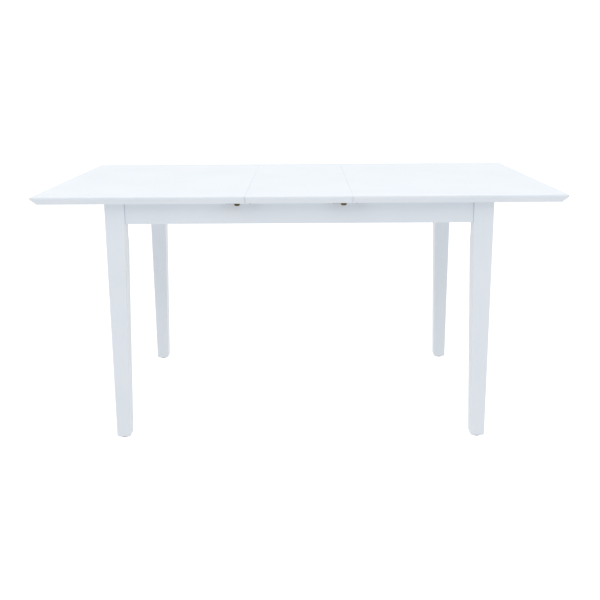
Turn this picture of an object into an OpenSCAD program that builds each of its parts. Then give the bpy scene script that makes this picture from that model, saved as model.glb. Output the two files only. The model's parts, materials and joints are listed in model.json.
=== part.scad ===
// Extendable dining table: a four-leg frame that carries a top in three panels.
// The two end panels slide lengthwise on tongued runners, and the leaf between them lifts out.
// Lengths are millimetres. +X runs along the table, +Y to its rear and +Z up.
// The origin is on the floor under the middle of the table.

/* [Top] */
// Length of each sliding end panel
half_l = 600; // [500:5:750]
// Length of the lift-out leaf
leaf_l = 300; // [240:5:380]
// Width of the top
top_w = 800; // [660:5:960]
// Thickness of the top
top_t = 22; // [18:0.5:30]
// Height of the top surface above the floor
table_h = 740; // [600:5:900]
// Width of the bevel under the outer edges
bevel_w = 16; // [10:1:20]
// Height of the upright edge above the bevel, with its round-over
edge_land = 6; // [5:0.5:8]
// Radius of the round-over along the upper edge
edge_r = 3; // [1:0.5:4]
// Radius of the outer corners, seen from above
corner_r = 10; // [5:1:20]
// Gap at each seam between two panels
seam_gap = 0.3; // [0.2:0.1:1]

/* [Frame] */
// How far the closed top stands past the legs at each end
end_overhang = 48; // [20:1:90]
// How far the top stands past the legs at the front and at the rear
side_overhang = 44; // [40:1:70]
// Side of the square leg beside the aprons
leg_top = 56; // [46:1:70]
// Side of the square leg at the floor
leg_foot = 40; // [32:1:46]
// Chamfer round the bottom of each leg
foot_chamfer = 4; // [1:0.5:6]
// Size of the flat on the inner corner of each leg, along either side
corner_flat = 14; // [8:1:18]
// How far below the aprons the flat starts to run out
flat_drop = 20; // [5:1:60]
// Radius of the flat's run-out
flat_curve_r = 120; // [60:5:200]
// Height of the aprons
apron_h = 61; // [55:1:90]
// Thickness of the aprons
apron_t = 20; // [16:1:26]
// How far the aprons stand back from the outer faces of the legs
apron_setback = 5; // [2:1:8]
// Distance from the middle of the table to each cross rail
cross_at = 210; // [120:5:300]
// Width of the cross rails
cross_w = 44; // [30:1:60]
// How far the cross rails stand above the lower edge of the aprons
cross_lift = 5; // [2:1:12]
// Radius of the foot glides
glide_r = 15.5; // [8:0.5:16]
// Thickness of the foot glides
glide_t = 3; // [2:0.5:6]

/* [Joinery] */
// Radius of the dowels between aprons and legs
dowel_r = 4; // [3:0.5:5]
// Length of the dowels
dowel_l = 40; // [30:1:50]
// Thickness of the corner bracket plate
bracket_t = 2.5; // [2:0.5:4]
// Length of each screw tab of a corner bracket
tab_l = 26; // [20:1:34]
// Space between a leg's flat and the corner bracket
bracket_gap = 6; // [3:1:10]
// Space above the corner brackets, and below them
bracket_margin = 2.5; // [1:0.5:5]
// Radius of the hanger bolts
bolt_r = 4; // [3:0.5:5]
// Length of hanger bolt that is screwed into the leg
bolt_bite = 32; // [20:1:40]
// Radius of the washers under the wing nuts
washer_r = 9; // [7:0.5:10]
// Thickness of the washers
washer_t = 1.6; // [1:0.1:2.5]

/* [Slides] */
// Gap between the frame's upper edges and the underside of the top
slide_gap = 2; // [1.5:0.1:4]
// Thickness of the guide rails
rail_t = 22; // [18:1:26]
// Height of the guide rails
rail_h = 30; // [28:1:36]
// Height of wood between the guide rail's lower edge and its groove
groove_rise = 11; // [10:0.5:13]
// Height of the runner's tongue
tongue_h = 8; // [6:0.5:10]
// How deep the tongue reaches into the guide rail
tongue_d = 7; // [5:0.5:9]
// Clearance round the tongue
slide_clear = 0.4; // [0.2:0.1:0.8]
// Width of the runners without their tongue
runner_w = 24; // [18:1:30]
// How far each runner's inner end stays from its panel's seam edge
runner_inset = 15; // [8:1:40]
// Travel of each end panel past its rest place, to free the leaf
free_travel = 20; // [10:1:40]
// Length of the travel stops
stop_l = 10; // [8:1:20]
// Radius of the felt pads on the frame
pad_r = 6; // [4:0.5:8]
// Gap left between a part that moves and the part that it rests on
rest_clear = 0.3; // [0.2:0.1:0.5]

/* [Leaf support] */
// Width of the support plates under the seams
plate_w = 30; // [22:1:40]
// Thickness of the support plates
plate_t = 2; // [1.6:0.1:2]
// Length of plate that is screwed to its end panel
plate_hold = 45; // [36:1:60]
// Length of plate that reaches under the leaf
plate_reach = 25; // [15:1:40]

/* [Latches] */
// Distance from a seam to the pivot of its latch
latch_back = 24; // [20:1:40]
// Distance from a seam to the stud that its latch takes hold of
stud_ahead = 12; // [9:1:20]
// Distance from the outer edge of the top to the line of the latches
latch_inset = 31; // [28:1:33]
// Width of the latch lever
lever_w = 12; // [9:1:14]
// Thickness of the latch lever
lever_t = 1.9; // [1.5:0.1:2.5]
// Radius of the latch knob
knob_r = 8.5; // [7:0.5:9]
// Radius of the pivot screw's shank
pivot_r = 2.5; // [2:0.5:3]
// Radius of the keeper stud
stud_r = 3; // [2:0.5:4]
// Radial clearance of the lever and its knob on the pivot screw
pivot_clear = 0.05; // [0.03:0.01:0.1]
// Clearance between the hook and the stud
hook_clear = 0.4; // [0.3:0.1:0.8]

/* [Hidden] */

// Round shapes carry over as true curves; this only smooths what is drawn.
$fn = 64;
// Overlap that lets a cut pass cleanly through a face.
cut = 1;

white_paint = "#eef2f6";
bare_beech = "#d8b98c";
steel = "#b9bec4";
brass = "#a89a55";
nylon = "#a4a6a9";
felt = "#c9c6bf";

// Main planes
half_x = half_l + leaf_l / 2;             // outer end of the extended top
seam_x = leaf_l / 2;                      // seam between leaf and end panel
under_z = table_h - top_t;                // underside of the top
frame_top = under_z - slide_gap;          // upper edges of legs and aprons
apron_z = frame_top - apron_h;            // lower edge of the aprons
leg_x = half_l - end_overhang;            // outer faces of the legs
leg_y = top_w / 2 - side_overhang;
apron_in_x = leg_x - apron_setback - apron_t;   // inner faces of the aprons
apron_in_y = leg_y - apron_setback - apron_t;
inner_leg_x = leg_x - leg_top;            // inner faces of the legs
inner_leg_y = leg_y - leg_top;

// Guide rails and runners
rail_z = frame_top - rail_h;
rail_in_y = apron_in_y - rail_t;
groove_z = rail_z + groove_rise;
groove_h = tongue_h + 2 * slide_clear;
groove_d = tongue_d + slide_clear;
runner_z = rail_z + 2;
runner_h = under_z - runner_z;
runner_in = seam_x + runner_inset;                                // end beside the seam
runner_out = inner_leg_x - stop_l - free_travel - rest_clear;     // end beside the leg
runner_l = runner_out - runner_in;
runner_y = rail_in_y - slide_clear;                               // face towards the rail

// Screws
screw_r = 2;
screw_head_r = 4;
small_screw_r = 1.75;
small_head_r = 3.4;
screw_sink = 2;
nail_r = 1.5;
nail_head_r = 3;

// Corner brackets
bracket_h = apron_h - rail_h - 2 * bracket_margin;
bolt_z = apron_z + bracket_margin + bracket_h / 2;
diagonal = sqrt(2);
// Distances along the diagonal from the corner where the aprons' inner faces meet
leg_flat_d = (apron_in_x - inner_leg_x + apron_in_y - inner_leg_y - corner_flat) / diagonal;
plate_near_d = leg_flat_d + bracket_gap;
bracket_leg = plate_near_d * diagonal;    // where the plate meets each apron
bolt_tail = 16;
nut_h = 8;
nut_r = 7;
wing_t = 3;
wing_rise = 9;
wing_span = 17;

// Felt pads
pad_t = slide_gap - rest_clear;
pad_rows = [leg_x - leg_top / 2, seam_x + 110, seam_x / 2];

// Places across the table of the left end panel's support plates
plate_rows = [-top_w * 0.28, top_w * 0.08];

// Latches
latch_y = top_w / 2 - latch_inset;
lever_top = under_z - rest_clear;
lever_z = lever_top - lever_t;
lever_reach = latch_back + stud_ahead;
hook_lip = 4;
lever_end = lever_reach + stud_r + hook_clear + hook_lip;
knob_cut_off = 2.6;
knob_h = knob_r - knob_cut_off;
knob_recess = 3;
pivot_head_r = 4;
pivot_head_h = 2.4;
pivot_bite = 10;
stud_drop = under_z - lever_z + 0.4;
keeper_t = 1.5;
keeper_start = stud_ahead - 7;
keeper_l = 34;
keeper_w = 16;
keeper_screw_steps = [11, 21];

// ---- Shared pieces ----

// A countersunk screw whose head lies flush with z = 0 and whose shank goes up
module screw(length, shank_r, head_r) {
    cylinder(h = screw_sink, r1 = head_r, r2 = shank_r);
    cylinder(h = length, r = shank_r);
}

// Puts a piece drawn at the front left corner on any corner
module on_corner(right, rear) {
    mirror([right ? 1 : 0, 0, 0])
    mirror([0, rear ? 1 : 0, 0])
    children();
}

module on_every_corner() {
    for (right = [false, true], rear = [false, true])
        on_corner(right, rear) children();
}

// Turns a piece of the left end panel into the same piece of the right one
module half_turn() {
    rotate([0, 0, 180]) children();
}

// ---- Top ----

// What the shaped edge takes off a square edge at x = 0, with the wood towards +x
module edge_waste() {
    bevel_h = top_t - edge_land;
    polygon([
        [-cut, bevel_h + cut * bevel_h / bevel_w],
        [bevel_w + cut * bevel_w / bevel_h, -cut],
        [-cut, -cut],
    ]);
    difference() {
        translate([-cut, top_t - edge_r]) square([edge_r + cut, edge_r + cut]);
        translate([edge_r, top_t - edge_r]) circle(edge_r);
    }
}

// Section across the table
module cross_section() {
    difference() {
        translate([-top_w / 2, 0]) square([top_w, top_t]);
        translate([-top_w / 2, 0]) edge_waste();
        translate([top_w / 2, 0]) mirror([1, 0]) edge_waste();
    }
}

// A length of top from x0 to x1 with its front and rear edges shaped
module top_strip(x0, x1) {
    translate([x0, 0, under_z])
    rotate([90, 0, 90])
    linear_extrude(x1 - x0) cross_section();
}

// Left end panel before its holes are made
module half_blank() {
    x1 = -seam_x - seam_gap / 2;
    difference() {
        top_strip(-half_x, x1);
        translate([-half_x, top_w / 2 + cut, under_z])
            rotate([90, 0, 0])
            linear_extrude(top_w + 2 * cut) edge_waste();
        for (side = [-1, 1])
            translate([-half_x, side * top_w / 2, under_z - cut])
                linear_extrude(top_t + 2 * cut)
                difference() {
                    square(2 * corner_r, center = true);
                    translate([corner_r, -side * corner_r]) circle(corner_r);
                }
    }
}

module half_panel() {
    color(white_paint)
    difference() {
        half_blank();
        half_runner_screws();
        half_plate_screws();
        latch_pivot(-seam_x);
        half_turn() keeper(seam_x);
        half_turn() keeper_screws(seam_x);
    }
}

module top_left() { half_panel(); }
module top_right() { half_turn() half_panel(); }

module extension_leaf() {
    leaf_end = seam_x - seam_gap / 2;
    color(white_paint)
    difference() {
        top_strip(-leaf_end, leaf_end);
        latch_pivots_leaf();
        keepers_leaf();
        keeper_screws_leaf();
    }
}

// ---- Legs and aprons ----

// One side view of a leg, outer face at 0, tapered on the inner side below the apron
module leg_side() {
    polygon([
        [foot_chamfer, glide_t],
        [leg_foot - foot_chamfer, glide_t],
        [leg_foot, glide_t + foot_chamfer],
        [leg_top, apron_z],
        [leg_top, frame_top],
        [0, frame_top],
        [0, glide_t + foot_chamfer],
    ]);
}

// Wood taken off the inner corner so that the bracket bolt pulls on a flat
module leg_corner_waste() {
    flat_at = (2 * leg_top - corner_flat) / diagonal;
    run_z = apron_z - flat_drop;
    rotate([0, 0, 45]) {
        translate([flat_at, -leg_top, run_z])
            cube([leg_top, 2 * leg_top, frame_top - run_z + cut]);
        translate([flat_at + flat_curve_r, leg_top, run_z])
            rotate([90, 0, 0]) cylinder(h = 2 * leg_top, r = flat_curve_r, $fn = 180);
    }
}

// Front left leg
module leg() {
    color(white_paint)
    difference() {
        translate([-leg_x, -leg_y, 0])
        difference() {
            intersection() {
                translate([0, leg_top, 0]) rotate([90, 0, 0]) linear_extrude(leg_top) leg_side();
                rotate([90, 0, 90]) linear_extrude(leg_top) leg_side();
            }
            leg_corner_waste();
        }
        corner_dowels();
        corner_bolt();
        foot_nail();
    }
}

module leg_front_left() { on_corner(false, false) leg(); }
module leg_front_right() { on_corner(true, false) leg(); }
module leg_rear_left() { on_corner(false, true) leg(); }
module leg_rear_right() { on_corner(true, true) leg(); }

module apron_front() {
    color(white_paint)
    difference() {
        translate([-inner_leg_x, -apron_in_y - apron_t, apron_z])
            cube([2 * inner_leg_x, apron_t, apron_h]);
        apron_dowels();
        bracket_screws();
        guide_rail_screws();
    }
}

module apron_rear() { mirror([0, 1, 0]) apron_front(); }

module apron_left() {
    color(white_paint)
    difference() {
        translate([-apron_in_x - apron_t, -inner_leg_y, apron_z])
            cube([apron_t, 2 * inner_leg_y, apron_h]);
        apron_dowels();
        bracket_screws();
    }
}

module apron_right() { mirror([1, 0, 0]) apron_left(); }

// Two dowels in each end of each apron, drawn at the front left leg
module corner_dowels() {
    dowel_rows = [apron_z + apron_h / 4, apron_z + 3 * apron_h / 4];
    color(bare_beech)
    for (z = dowel_rows) {
        translate([-inner_leg_x - dowel_l / 2, -apron_in_y - apron_t / 2, z])
            rotate([0, 90, 0]) cylinder(h = dowel_l, r = dowel_r);
        translate([-apron_in_x - apron_t / 2, -inner_leg_y + dowel_l / 2, z])
            rotate([90, 0, 0]) cylinder(h = dowel_l, r = dowel_r);
    }
}

module apron_dowels() { on_every_corner() corner_dowels(); }

// ---- Corner brackets ----

// Bent steel strip seen from above, with the aprons' inner corner at the origin
module bracket_outline() {
    bend = bracket_t * (diagonal - 1);
    polygon([
        [bracket_leg + tab_l, 0],
        [bracket_leg, 0],
        [0, bracket_leg],
        [0, bracket_leg + tab_l],
        [bracket_t, bracket_leg + tab_l],
        [bracket_t, bracket_leg + bend],
        [bracket_leg + bend, bracket_t],
        [bracket_leg + tab_l, bracket_t],
    ]);
}

module corner_bracket() {
    color(steel)
    difference() {
        translate([-apron_in_x, -apron_in_y, apron_z + bracket_margin])
            linear_extrude(bracket_h) bracket_outline();
        corner_bracket_screws();
        along_diagonal(plate_near_d - cut)
            cylinder(h = bracket_t + 2 * cut, r = bolt_r + 0.5);
    }
}

module corner_bracket_front_left() { on_corner(false, false) corner_bracket(); }
module corner_bracket_front_right() { on_corner(true, false) corner_bracket(); }
module corner_bracket_rear_left() { on_corner(false, true) corner_bracket(); }
module corner_bracket_rear_right() { on_corner(true, true) corner_bracket(); }

// Puts +z along the corner's diagonal, at a distance from the aprons' inner corner
module along_diagonal(distance) {
    translate([-apron_in_x, -apron_in_y, bolt_z])
    rotate([0, 90, 45])
    translate([0, 0, distance])
    children();
}

// Two screws in each tab, drawn at the front left corner
module corner_bracket_screws() {
    screw_l = 16;
    steps = [tab_l * 0.45, tab_l * 0.8];
    color(steel)
    for (step = steps) {
        translate([-apron_in_x + bracket_leg + step, -apron_in_y + bracket_t, bolt_z])
            rotate([90, 0, 0]) screw(screw_l, small_screw_r, small_head_r);
        translate([-apron_in_x + bracket_t, -apron_in_y + bracket_leg + step, bolt_z])
            rotate([0, -90, 0]) screw(screw_l, small_screw_r, small_head_r);
    }
}

module bracket_screws() { on_every_corner() corner_bracket_screws(); }

module corner_bolt() {
    color(steel)
    along_diagonal(leg_flat_d - bolt_bite)
        cylinder(h = bolt_bite + bracket_gap + bracket_t + bolt_tail, r = bolt_r);
}

module hanger_bolts() { on_every_corner() corner_bolt(); }

module bolt_washers() {
    color(steel)
    on_every_corner()
    along_diagonal(plate_near_d + bracket_t)
    difference() {
        cylinder(h = washer_t, r = washer_r);
        translate([0, 0, -cut]) cylinder(h = washer_t + 2 * cut, r = bolt_r);
    }
}

// Hub with two raised wings
module wing_nut() {
    difference() {
        union() {
            cylinder(h = nut_h, r1 = nut_r, r2 = nut_r - 1);
            for (side = [0, 180])
                rotate([90, 0, side]) translate([0, 0, -wing_t / 2])
                linear_extrude(wing_t)
                intersection() {
                    translate([wing_span - 7, wing_rise]) circle(7);
                    translate([bolt_r + 1, 2]) square([wing_span, wing_rise + 8]);
                }
        }
        translate([0, 0, -cut]) cylinder(h = nut_h + 2 * cut, r = bolt_r);
    }
}

module wing_nuts() {
    color(steel)
    on_every_corner()
    along_diagonal(plate_near_d + bracket_t + washer_t)
    rotate([0, 0, 90]) wing_nut();
}

// ---- Guide rails and cross rails ----

module guide_rail_front() {
    color(bare_beech)
    difference() {
        translate([-inner_leg_x, -apron_in_y, rail_z])
            cube([2 * inner_leg_x, rail_t, rail_h]);
        translate([-inner_leg_x - cut, -rail_in_y - groove_d, groove_z])
            cube([2 * (inner_leg_x + cut), groove_d + cut, groove_h]);
        guide_rail_screws();
        cross_rail_screws();
    }
}

module guide_rail_rear() { mirror([0, 1, 0]) guide_rail_front(); }

// Row of screws below the groove, from the rail into the apron
module guide_rail_screws() {
    per_side = 3;
    step = (inner_leg_x - 60) / per_side;
    color(steel)
    for (side = [0, 1], i = [-per_side : per_side])
        mirror([0, side, 0])
        translate([i * step, -rail_in_y, rail_z + groove_rise / 2])
            rotate([90, 0, 0]) screw(rail_t + 12, screw_r, screw_head_r);
}

// Blocks in the ends of the grooves that stop the tongues
module travel_stops() {
    color(bare_beech)
    on_every_corner()
    translate([-inner_leg_x, -rail_in_y - groove_d, groove_z])
        cube([stop_l, groove_d, groove_h]);
}

module cross_rail_left() {
    cross_h = rail_z - apron_z - cross_lift;
    color(bare_beech)
    difference() {
        translate([-cross_at - cross_w / 2, -apron_in_y, apron_z + cross_lift])
            cube([cross_w, 2 * apron_in_y, cross_h]);
        cross_rail_screws();
    }
}

module cross_rail_right() { mirror([1, 0, 0]) cross_rail_left(); }

// Two screws up through each end of each cross rail into the guide rail
module cross_rail_screws() {
    cross_h = rail_z - apron_z - cross_lift;
    screw_step = cross_w / 4;
    color(steel)
    on_every_corner()
    for (side = [-1, 1])
        translate([-cross_at + side * screw_step, -apron_in_y + rail_t / 2, apron_z + cross_lift])
            screw(cross_h + groove_rise - 3, screw_r, screw_head_r);
}

// ---- Pads and feet ----

// Felt discs that the panels slide and rest on
module felt_pads() {
    color(felt)
    on_every_corner()
    for (x = pad_rows)
        translate([-x, -apron_in_y - apron_t / 2, frame_top])
            cylinder(h = pad_t, r = pad_r);
}

module foot_glides() {
    rim = 1;
    color(nylon)
    on_every_corner()
    translate([-leg_x + leg_foot / 2, -leg_y + leg_foot / 2, 0])
    difference() {
        union() {
            cylinder(h = rim, r1 = glide_r - rim, r2 = glide_r);
            translate([0, 0, rim]) cylinder(h = glide_t - rim, r = glide_r);
        }
        translate([0, 0, -cut]) cylinder(h = glide_t, r = nail_head_r);
        cylinder(h = glide_t + cut, r = nail_r);
    }
}

// Nail that holds the front left glide, its head sunk in the glide
module foot_nail() {
    nail_l = 22;
    head_z = 0.8;
    color(steel)
    translate([-leg_x + leg_foot / 2, -leg_y + leg_foot / 2, head_z]) {
        cylinder(h = glide_t - cut - head_z, r = nail_head_r);
        cylinder(h = nail_l, r = nail_r);
    }
}

module glide_nails() { on_every_corner() foot_nail(); }

// ---- Runners ----

// Front runner of the left end panel
module runner() {
    color(bare_beech)
    difference() {
        union() {
            translate([-runner_out, -runner_y, runner_z])
                cube([runner_l, runner_w, runner_h]);
            translate([-runner_out, -runner_y - slide_clear - tongue_d, groove_z + slide_clear])
                cube([runner_l, tongue_d + slide_clear + cut, tongue_h]);
        }
        half_runner_screws();
    }
}

module runner_left_front() { runner(); }
module runner_left_rear() { mirror([0, 1, 0]) runner(); }
module runner_right_front() { half_turn() runner_left_rear(); }
module runner_right_rear() { half_turn() runner_left_front(); }

// Screws up through the runners of the left end panel
module half_runner_screws() {
    bite = 12;
    end_in = 30;
    count = 4;
    step = (runner_l - 2 * end_in) / (count - 1);
    color(steel)
    for (side = [0, 1], i = [0 : count - 1])
        mirror([0, side, 0])
        translate([-runner_out + end_in + i * step, -runner_y + runner_w / 2, runner_z])
            screw(runner_h + bite, screw_r, screw_head_r);
}

module runner_screws_left() { half_runner_screws(); }
module runner_screws_right() { half_turn() half_runner_screws(); }

// ---- Leaf support plates ----

module half_support_plates() {
    seam = -seam_x - seam_gap / 2;
    color(steel)
    difference() {
        for (y = plate_rows)
            translate([seam, y - plate_w / 2, under_z - plate_t]) {
                translate([-plate_hold, 0, 0]) cube([plate_hold, plate_w, plate_t]);
                translate([-cut, 0, 0]) cube([plate_reach + cut, plate_w, plate_t - rest_clear]);
            }
        half_plate_screws();
    }
}

module half_plate_screws() {
    bite = 12;
    steps = [-plate_hold * 0.25, -plate_hold * 0.75];
    color(steel)
    for (y = plate_rows, step = steps)
        translate([-seam_x + step, y, under_z - plate_t])
            screw(plate_t + bite, screw_r, screw_head_r);
}

module support_plates_left() { half_support_plates(); }
module support_plates_right() { half_turn() half_support_plates(); }
module plate_screws_left() { half_plate_screws(); }
module plate_screws_right() { half_turn() half_plate_screws(); }

// ---- Latches ----

// Places a piece at a front latch's pivot, or at the stud that it takes hold of
module at_pivot(seam) {
    translate([seam - latch_back, -latch_y, 0]) children();
}

module at_stud(seam) {
    translate([seam + stud_ahead, -latch_y, 0]) children();
}

// Slotted shoulder screw that a lever turns on
module latch_pivot(seam) {
    head_gap = 0.1;
    slot_w = 1.2;
    head_z = lever_z - knob_h + knob_recess - head_gap - pivot_head_h;
    color(steel)
    at_pivot(seam)
    translate([0, 0, head_z])
    difference() {
        union() {
            cylinder(h = pivot_head_h, r = pivot_head_r);
            cylinder(h = under_z + pivot_bite - head_z, r = pivot_r);
        }
        translate([-pivot_head_r - cut, -slot_w / 2, -cut])
            cube([2 * (pivot_head_r + cut), slot_w, cut + slot_w]);
    }
}

// Lever seen from above with its pivot at the origin and its hook round a stud on +x
module lever_outline() {
    boss = 1.5;
    tip_r = lever_w / 2;
    difference() {
        union() {
            circle(tip_r + boss);
            translate([0, -tip_r]) square([lever_end - tip_r, lever_w]);
            translate([lever_end - tip_r, 0]) circle(tip_r);
        }
        circle(pivot_r + pivot_clear);
        translate([lever_reach, 0]) circle(stud_r + hook_clear);
        intersection() {
            difference() {
                circle(lever_reach + stud_r + hook_clear);
                circle(lever_reach - stud_r - hook_clear);
            }
            square([lever_end, lever_w]);
        }
    }
}

// Lever parked under its own panel, turned half round from its hooked place
module latch_lever(seam) {
    color(brass)
    at_pivot(seam)
    translate([0, 0, lever_z])
    rotate([0, 0, 180])
    linear_extrude(lever_t) lever_outline();
}

// Domed finger knob fixed under the lever
module latch_knob(seam) {
    color(brass)
    at_pivot(seam)
    translate([0, 0, lever_z])
    difference() {
        intersection() {
            sphere(knob_r);
            translate([-knob_r, -knob_r, -knob_h]) cube([2 * knob_r, 2 * knob_r, knob_h]);
        }
        translate([0, 0, -knob_h - cut]) cylinder(h = knob_h + 2 * cut, r = pivot_r + pivot_clear);
        translate([0, 0, -knob_h - cut]) cylinder(h = knob_recess + cut, r = pivot_head_r + 0.3);
    }
}

// Flush plate with a hanging stud
module keeper(seam) {
    color(brass)
    at_stud(seam)
    difference() {
        translate([0, 0, under_z]) {
            translate([keeper_start - stud_ahead, -keeper_w / 2, 0])
                cube([keeper_l, keeper_w, keeper_t]);
            translate([0, 0, -stud_drop]) cylinder(h = stud_drop + keeper_t, r = stud_r);
        }
        keeper_screw_pair();
    }
}

module keeper_screw_pair() {
    screw_l = 14;
    for (step = keeper_screw_steps)
        translate([step, 0, under_z]) screw(screw_l, small_screw_r, small_head_r);
}

module keeper_screws(seam) {
    color(steel) at_stud(seam) keeper_screw_pair();
}

module latch_pivot_left() { latch_pivot(-seam_x); }
module latch_lever_left() { latch_lever(-seam_x); }
module latch_knob_left() { latch_knob(-seam_x); }
module keeper_left() { half_turn() keeper(seam_x); }
module keeper_screws_left() { half_turn() keeper_screws(seam_x); }

module latch_pivot_right() { half_turn() latch_pivot_left(); }
module latch_lever_right() { half_turn() latch_lever_left(); }
module latch_knob_right() { half_turn() latch_knob_left(); }
module keeper_right() { half_turn() keeper_left(); }
module keeper_screws_right() { half_turn() keeper_screws_left(); }

module latch_lever_leaf_front() { latch_lever(seam_x); }
module latch_knob_leaf_front() { latch_knob(seam_x); }
module latch_lever_leaf_rear() { half_turn() latch_lever(seam_x); }
module latch_knob_leaf_rear() { half_turn() latch_knob(seam_x); }

module latch_pivots_leaf() {
    for (turn = [0, 180]) rotate([0, 0, turn]) latch_pivot(seam_x);
}

module keepers_leaf() {
    for (turn = [0, 180]) rotate([0, 0, turn]) keeper(-seam_x);
}

module keeper_screws_leaf() {
    for (turn = [0, 180]) rotate([0, 0, turn]) keeper_screws(-seam_x);
}

leg_front_left();
leg_front_right();
leg_rear_left();
leg_rear_right();
apron_front();
apron_rear();
apron_left();
apron_right();
apron_dowels();
corner_bracket_front_left();
corner_bracket_front_right();
corner_bracket_rear_left();
corner_bracket_rear_right();
bracket_screws();
hanger_bolts();
bolt_washers();
wing_nuts();
guide_rail_front();
guide_rail_rear();
guide_rail_screws();
travel_stops();
cross_rail_left();
cross_rail_right();
cross_rail_screws();
felt_pads();
foot_glides();
glide_nails();
top_left();
runner_left_front();
runner_left_rear();
runner_screws_left();
support_plates_left();
plate_screws_left();
latch_pivot_left();
keeper_left();
keeper_screws_left();
top_right();
runner_right_front();
runner_right_rear();
runner_screws_right();
support_plates_right();
plate_screws_right();
latch_pivot_right();
keeper_right();
keeper_screws_right();
extension_leaf();
latch_pivots_leaf();
keepers_leaf();
keeper_screws_leaf();
latch_lever_left();
latch_knob_left();
latch_lever_right();
latch_knob_right();
latch_lever_leaf_front();
latch_knob_leaf_front();
latch_lever_leaf_rear();
latch_knob_leaf_rear();
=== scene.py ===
# %% [markdown]
# # An extendable dining table in white lacquer
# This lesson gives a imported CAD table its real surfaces. The frame holds every part at its true size and
# place, so nothing here moves or scales a part. What is left is what makes wood, lacquer and metal look
# real: soft edges that catch the light, and materials with the detail of the real finish.
#
# Its lengths are metres, +X runs along the table, +Y to its rear, +Z up.

# %% Load the frame
import json
import math

import bmesh
import bpy
from mathutils import Matrix, Vector


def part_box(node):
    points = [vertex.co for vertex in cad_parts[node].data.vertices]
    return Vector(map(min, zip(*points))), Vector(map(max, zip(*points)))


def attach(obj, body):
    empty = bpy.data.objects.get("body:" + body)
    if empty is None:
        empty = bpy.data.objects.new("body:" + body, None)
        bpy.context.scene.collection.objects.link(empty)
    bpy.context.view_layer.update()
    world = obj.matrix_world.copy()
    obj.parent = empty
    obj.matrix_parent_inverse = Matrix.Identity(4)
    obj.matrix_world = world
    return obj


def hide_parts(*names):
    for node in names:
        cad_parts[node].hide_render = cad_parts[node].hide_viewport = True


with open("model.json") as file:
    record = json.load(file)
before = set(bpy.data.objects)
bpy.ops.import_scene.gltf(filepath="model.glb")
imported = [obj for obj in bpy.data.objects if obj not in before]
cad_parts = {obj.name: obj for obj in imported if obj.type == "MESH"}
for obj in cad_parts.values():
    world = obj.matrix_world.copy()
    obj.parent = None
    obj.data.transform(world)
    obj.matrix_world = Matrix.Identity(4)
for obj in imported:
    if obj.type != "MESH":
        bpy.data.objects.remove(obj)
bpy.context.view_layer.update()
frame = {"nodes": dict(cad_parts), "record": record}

MM = 0.001

# %% [markdown]
# ## The camera
# A table is shot from not far above its own height, so that the top shows as a narrow band and the legs
# in full. The camera looks down a little, and the rest of the framing comes from a small lens shift, which
# moves the picture without tilting the legs any further. The camera comes first because everything after
# it is judged through it.

# %% Camera
CAMERA_PLACE = Vector((0.01236, -2.53458, 1.07291))
LOOKS_DOWN = math.radians(11.867)
TURNED = math.radians(0.264)
ROLLED = math.radians(-0.374)
SENSOR_WIDTH = 36
LENS = 46.85
SHIFT = -0.1043

camera = bpy.data.objects.new("camera", bpy.data.cameras.new("camera"))
bpy.context.scene.collection.objects.link(camera)
camera.data.sensor_width = SENSOR_WIDTH
camera.data.lens = LENS
camera.data.shift_y = SHIFT
camera.data.dof.use_dof = False
camera.matrix_world = (
    Matrix.Translation(CAMERA_PLACE)
    @ Matrix.Rotation(TURNED, 4, "Z")
    @ Matrix.Rotation(math.radians(90) - LOOKS_DOWN, 4, "X")
    @ Matrix.Rotation(ROLLED, 4, "Z")
)
bpy.context.scene.camera = camera
print("camera height in mm:", round(CAMERA_PLACE.z / MM), "lens:", LENS)

# %% [markdown]
# ## Nodes and colours
# A material is a small graph. One helper adds a node, sets it and links it, so each material below reads
# like a recipe. Colours are written as the sRGB hex values a paint chart gives, and one function turns
# them into the linear values that the renderer works with.

# %% Material helpers
def linear(code):
    """The linear RGBA of an sRGB hex colour such as "f2f5f8"."""
    channels = [int(code[i:i + 2], 16) / 255 for i in (0, 2, 4)]
    return [c / 12.92 if c <= 0.04045 else ((c + 0.055) / 1.055) ** 2.4 for c in channels] + [1.0]


def add_node(tree, kind, links=None, values=None, **settings):
    """Adds a node, sets its properties and socket values, and links its inputs."""
    node = tree.nodes.new(kind)
    for name, setting in settings.items():
        setattr(node, name, setting)
    for socket, value in (values or {}).items():
        node.inputs[socket].default_value = value
    for socket, source in (links or {}).items():
        tree.links.new(source, node.inputs[socket])
    return node


def start_material(name):
    """An empty material with a Principled shader wired to its output."""
    material = bpy.data.materials.new(name)
    material.use_nodes = True
    tree = material.node_tree
    tree.nodes.clear()
    shader = add_node(tree, "ShaderNodeBsdfPrincipled")
    add_node(tree, "ShaderNodeOutputMaterial", {"Surface": shader.outputs["BSDF"]})
    return material, tree, shader


def per_metre(millimetres):
    """The noise scale whose blotches are about this wide."""
    return 1 / (millimetres * MM)


print("noise scale for 10 mm blotches:", per_metre(10))

# %% [markdown]
# ## White lacquer
# The table is hardwood and board under several sprayed coats of white satin lacquer. Spraying leaves a
# faint orange-peel skin, and the wood's grain sinks a little under it as the film dries. Both are far too
# fine to see as relief: they only break up the reflections. The tone drifts by a percent or so across a
# panel because no two passes of the gun lay down the same film. Lacquer is a dielectric with an IOR near
# 1.5, and satin sits between gloss and matt.

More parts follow.
